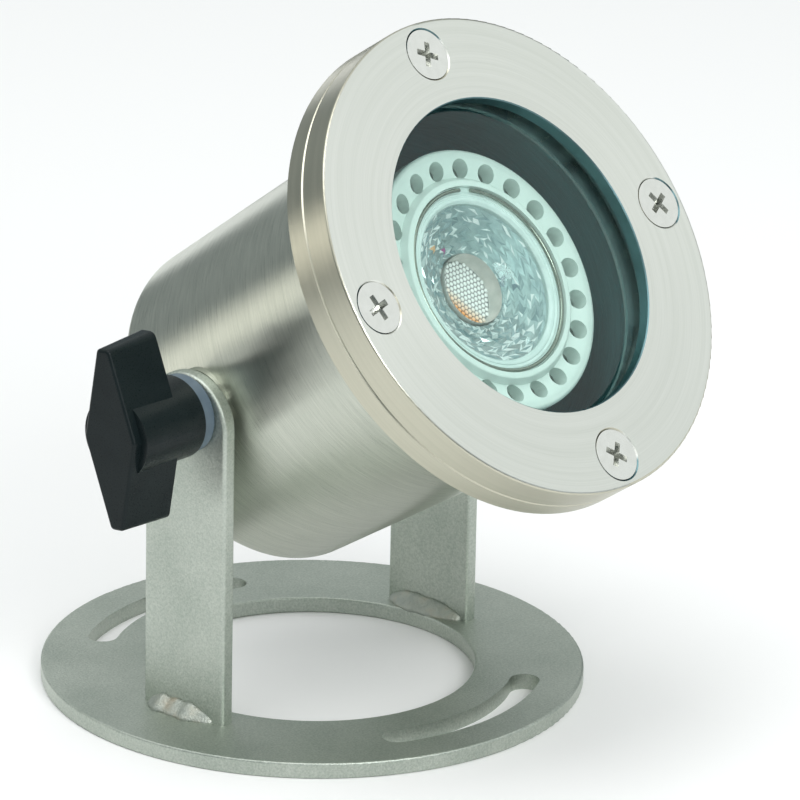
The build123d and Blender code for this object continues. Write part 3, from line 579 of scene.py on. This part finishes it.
def add_lens_cover():
    """The smooth funnel that covers the facets, from the flange down to the eye."""
    points = []
    for step in range(COVER_STEPS + 1):
        share = step / COVER_STEPS
        radius = BOWL_R - COVER_GAP + (EYE_R - BOWL_R + COVER_GAP) * share
        dip = LENS_FACE - COVER_SUNK + (FUNNEL_FOOT - LENS_FACE + COVER_SUNK) * share ** COVER_CURVE
        points.append((radius, dip))
    back = [(radius, d - COVER_THICK) for radius, d in reversed(points)]
    bm = bmesh.new()
    lathe(bm, points + back, closed=True)
    bmesh.ops.recalc_face_normals(bm, faces=bm.faces)
    piece = add_piece("lens_cover", bm, "head", "lamp_lens")
    piece.data.materials[0] = clear_film("clear_cover", (0.97, 0.99, 0.985), (0.8, 0.8, 0.8), 0.05, 1.5)


def facet_profile(share):
    """(radius, distance) of the faceted cone, from its foot to its mouth."""
    radius = EYE_R + CONE_START + (BOWL_R - EYE_R - CONE_MARGIN) * share
    return radius, CONE_FOOT + (LENS_FACE - CONE_SUNK - CONE_FOOT) * share ** CONE_CURVE


def calmness(turn):
    """1 on the calm side of the cone, 0 on its rough half."""
    return math.sqrt(max(0.0, math.cos(turn - CALM_TURN)))


def paint_facet_glints(bm, draw):
    """Paints glints and dark reflections on some facets, fewer on the calm side, and paints coloured
    glints and shadow on the caught spots.
    """
    for face in bm.faces:
        spot = face.calc_center_median() - LAMP_CENTRE
        rarity = 1 - CALM_TONE * calmness(math.atan2(spot.dot(UP), spot.dot(RIGHT)))
        luck = draw.random()
        # painted glints and painted dark reflections on random facets
        if luck < PAINTED_GLINT_SHARE * rarity:
            face.material_index = PAINTED_GLINT
        elif luck > 1 - PAINTED_DARK_REFLECTION_SHARE * rarity:
            face.material_index = PAINTED_DARK_REFLECTION
    for radius, angle, tint in CAUGHT:
        share = min(1, max(0, (radius - EYE_R - CONE_START) / (BOWL_R - EYE_R - CONE_MARGIN)))
        goal = at_angle(radius, math.radians(angle), facet_profile(share)[1])
        nearest = sorted(bm.faces, key=lambda face: (face.calc_center_median() - goal).length)
        for face in nearest[:CAUGHT_FACES]:
            face.material_index = tint


def add_facets():
    """Broken flat facets round the cone: rough to the left and below, calmer to the upper right."""
    draw = random.Random(FACET_SEED)
    bm = bmesh.new()
    rows = []
    for row in range(FACET_ROWS + 1):
        ring = []
        for place in range(FACETS_ROUND):
            radius, d = facet_profile(row / FACET_ROWS)
            shift = 0.5 * (row % 2) + draw.uniform(-TURN_DRIFT, TURN_DRIFT)
            turn = math.tau * (place + shift) / FACETS_ROUND
            rough = (1 - CALM_SHAPE * calmness(turn)) * (EDGE_DRIFT if row in (0, FACET_ROWS) else 1)
            radius += draw.uniform(-RADIUS_DRIFT, RADIUS_DRIFT) * rough
            d += draw.uniform(-DEPTH_DRIFT, DEPTH_DRIFT) * rough
            ring.append(bm.verts.new(at_angle(radius, turn, d)))
        rows.append(ring)
    for number, (low, high) in enumerate(zip(rows, rows[1:])):
        for place in range(FACETS_ROUND):
            after = (place + 1) % FACETS_ROUND
            corners = (low[place], low[after], high[after], high[place])
            if number % 2:
                bm.faces.new((corners[0], corners[1], corners[3]))
                bm.faces.new((corners[1], corners[2], corners[3]))
            else:
                bm.faces.new((corners[0], corners[1], corners[2]))
                bm.faces.new((corners[0], corners[2], corners[3]))
    paint_facet_glints(bm, draw)
    piece = add_piece("lens_facets", bm, "head", "lamp_lens", smooth=False)
    piece.data.materials[0] = facet_mirror()
    for name, low, high in FACET_TONES:
        piece.data.materials.append(plastic(name, low, high, FACET_GLOSS))


def add_cell(bm, x, y, corner):
    """One small domed lens of the eye, on a hexagon."""
    rings = []
    for size, height in CELL_RINGS:
        ring = []
        for side in range(HEX):
            turn = math.tau * (side + 0.5) / HEX
            spot = on_lamp(x + corner * size * math.cos(turn), y + corner * size * math.sin(turn),
                           EYE_FLOOR + height)
            ring.append(bm.verts.new(spot))
        rings.append(ring)
    for low, high in zip(rings, rings[1:]):
        for side in range(HEX):
            after = (side + 1) % HEX
            bm.faces.new((low[side], low[after], high[after], high[side]))
    bm.faces.new(rings[-1])


def add_eye():
    """The round eye in the middle: a short wall and a floor of small hexagonal lenses."""
    bm = bmesh.new()
    lathe(bm, [(EYE_R, FUNNEL_FOOT), (EYE_R - EYE_TAPER, EYE_FLOOR + EYE_CORNER),
               (EYE_R - EYE_FOOT, EYE_FLOOR)])
    wall = add_piece("lens_eye_wall", bm, "head", "lamp_lens")
    wall.data.materials[0] = eye_wall()

    bm = bmesh.new()
    reach = int(EYE_R / CELL) + 2
    corner = CELL / math.sqrt(3)
    for row in range(-reach, reach + 1):
        for column in range(-reach, reach + 1):
            x = CELL * (column + 0.5 * (row % 2))
            y = corner * 1.5 * row
            if math.hypot(x, y) <= EYE_R - CELL_MARGIN:
                add_cell(bm, x, y, corner)
    floor = add_piece("lens_eye_cells", bm, "head", "lamp_lens")
    floor.data.materials[0] = eye_cells()


def facet_mirror():
    """Sharp and bright to the lower left, soft and bluish to the upper right: the darker bluish tone
    there is painted reflection.
    """
    look = Look("facet_mirror", (0.7, 0.76, 0.76), Metallic=0.5, Roughness=0.1)
    spot = look.vector("SUBTRACT", look.place(), tuple(LAMP_CENTRE / MM))
    side = look.vector("DOT_PRODUCT", spot, UPPER_RIGHT)
    cloud = look.noise(look.place(), 0.4, 3.0)
    skin = look.ramp(cloud, (0.3, (0.52, 0.60, 0.61)), (0.7, (0.72, 0.78, 0.77)))
    share = look.spread(side, 0.0, 1.0, -4.0, 7.0)
    # painted reflection: white to the lower left, darker and bluish to the upper right
    tint = look.ramp(share, (0.1, (1, 1, 1)), (0.9, (0.72, 0.82, 0.83)))
    look.set("Base Color", look.vector("MULTIPLY", skin, tint))
    look.set("Roughness", look.spread(share, 0.08, 0.5, 0.0, 1.0))
    return look.material


def eye_wall():
    """The short wall round the small lenses: glossy, in two warm greys."""
    look = Look("eye_wall", (0.5, 0.5, 0.47), Roughness=0.2)
    cloud = look.noise(look.place(), 0.4, 3.0)
    look.set("Base Color", look.ramp(cloud, (0.3, (0.56, 0.57, 0.53)), (0.7, (0.72, 0.70, 0.66))))
    return look.material


def eye_cells():
    """Small clear lenses over the emitter, painted: white tops as painted highlight, painted shade in
    the dark joints, and the phosphor seen through them painted on at the lower left.
    """
    look = Look("eye_cells", (0.85, 0.88, 0.86), Roughness=0.12)
    spot = look.vector("SUBTRACT", look.place(), tuple(LAMP_CENTRE / MM))
    side = look.vector("DOT_PRODUCT", spot, LOWER_LEFT)
    cloud = look.noise(look.place(), 0.8, 2.0)
    warmth = look.math("ADD", look.spread(side, 0.0, 1.0, -0.6, 3.6), look.spread(cloud, -0.1, 0.1))
    tone = look.ramp(warmth, (0.3, (0.92, 0.93, 0.91)), (0.7, (0.95, 0.72, 0.55)),
                     (0.95, (0.95, 0.42, 0.14)))
    # painted shade low in the joints between the cells, full painted brightness on their tops
    depth = look.turning(LAMP_CENTRE)[2]
    painted_joint_shade = look.spread(depth, 0.22, 1.0, EYE_FLOOR + 0.04, EYE_FLOOR + 0.24)
    look.set("Base Color", look.scale(tone, painted_joint_shade))
    return look.material


add_welds()
add_lens_rim()
add_lens_cover()
add_facets()
add_eye()

# ---- camera, floor and light --------------------------------------------------------

CAMERA_TURN = math.radians(50.375)
CAMERA_RISE = math.radians(19.95)
CAMERA_ROLL = math.radians(1.075)
CAMERA_TARGET = Vector((0.2052, 0.1501, -0.0383))
CAMERA_DISTANCE = 1.5291
CAMERA_LENS = 311.7
SENSOR = 36.0
CAMERA_REACH = 20
FLOOR_RADIUS = 0.55
FLOOR_STEPS = 128

# direction from the head, distance, size, power and colour of each soft light
WHITE = (1, 1, 1)
SOFTBOXES = {
    "front_box": ((0.72, -0.53, 0.45), 0.9, (0.8, 0.8), 0.75, WHITE),
    "key_box": ((-0.3, -0.8, 0.52), 0.9, (0.4, 0.4), 3.3, WHITE),
    "top_box": ((-0.2, 0.04, 0.96), 0.8, (0.6, 0.6), 2.6, WHITE),
    "back_left_box": ((-0.52, 0.85, 0.06), 0.9, (0.25, 0.3), 0.45, (1.0, 0.96, 0.88)),
    "back_right_box": ((0.55, 0.83, 0.02), 0.9, (0.2, 0.2), 0.2, WHITE),
}
# what the metal sees, from the horizon up: height, colour
SKY_LOW = (0.0, (0.16, 0.18, 0.18))
SKY_BETWEEN = ((0.08, (0.10, 0.13, 0.15)), (0.22, (0.10, 0.14, 0.17)), (0.36, (0.6, 0.64, 0.62)))
SKY_HIGH = (0.8, (0.8, 0.82, 0.82))


def add_camera():
    """The photo's view: a long lens to the left of the light, a little above it."""
    away = Vector((-math.sin(CAMERA_TURN) * math.cos(CAMERA_RISE),
                   -math.cos(CAMERA_TURN) * math.cos(CAMERA_RISE),
                   math.sin(CAMERA_RISE)))
    level = Vector((math.cos(CAMERA_TURN), -math.sin(CAMERA_TURN), 0))
    upright = -level.cross(away)
    side = level * math.cos(CAMERA_ROLL) + upright * math.sin(CAMERA_ROLL)
    top = upright * math.cos(CAMERA_ROLL) - level * math.sin(CAMERA_ROLL)
    data = bpy.data.cameras.new("camera")
    data.lens = CAMERA_LENS
    data.sensor_width = SENSOR
    data.clip_end = CAMERA_REACH
    camera = bpy.data.objects.new("camera", data)
    turn = Matrix((side, top, away)).transposed().to_4x4()
    camera.matrix_world = Matrix.Translation(CAMERA_TARGET + away * CAMERA_DISTANCE) @ turn
    bpy.context.scene.collection.objects.link(camera)
    bpy.context.scene.camera = camera


def add_softbox(name, direction, distance, size, power, tint):
    """A soft light at a distance from the head, facing it."""
    data = bpy.data.lights.new(name, "AREA")
    data.shape = "RECTANGLE"
    data.size, data.size_y = size
    data.energy = power
    data.color = tint
    lamp = bpy.data.objects.new(name, data)
    way = Vector(direction).normalized()
    lamp.location = CENTRE + way * distance
    lamp.rotation_euler = way.to_track_quat("Z", "Y").to_euler()
    bpy.context.scene.collection.objects.link(lamp)


def add_floor():
    """A pale round sheet under the light."""
    bm = bmesh.new()
    bmesh.ops.create_circle(bm, cap_ends=True, segments=FLOOR_STEPS, radius=FLOOR_RADIUS)
    mesh = bpy.data.meshes.new("floor")
    bm.to_mesh(mesh)
    bm.free()
    floor = bpy.data.objects.new("floor", mesh)
    bpy.context.scene.collection.objects.link(floor)
    look = Look("floor_paper", (0.92, 0.92, 0.92), Roughness=0.9)
    mesh.materials.append(look.material)


def light_world():
    """Pale to the camera. To the metal it is brighter above than at the horizon."""
    world = bpy.data.worlds.new("studio")
    bpy.context.scene.world = world
    world.use_nodes = True
    tree = world.node_tree
    coords = tree.nodes.new("ShaderNodeTexCoord")
    split = tree.nodes.new("ShaderNodeSeparateXYZ")
    ramp = tree.nodes.new("ShaderNodeValToRGB")
    tree.links.new(coords.outputs["Generated"], split.inputs[0])
    tree.links.new(split.outputs["Z"], ramp.inputs[0])
    for element, (place, colour) in zip(ramp.color_ramp.elements, (SKY_LOW, SKY_HIGH)):
        element.position = place
        element.color = (*colour, 1)
    for place, colour in SKY_BETWEEN:
        ramp.color_ramp.elements.new(place).color = (*colour, 1)
    path = tree.nodes.new("ShaderNodeLightPath")
    mix = tree.nodes.new("ShaderNodeMixRGB")
    tree.links.new(path.outputs["Is Camera Ray"], mix.inputs[0])
    tree.links.new(ramp.outputs[0], mix.inputs[1])
    mix.inputs[2].default_value = (1, 1, 1, 1)
    tree.links.new(mix.outputs[0], tree.nodes["Background"].inputs["Color"])
    tree.nodes["Background"].inputs["Strength"].default_value = 1.0


add_camera()
add_floor()
light_world()
for box_name, setting in SOFTBOXES.items():
    add_softbox(box_name, *setting)
bpy.context.scene.view_settings.view_transform = "Standard"
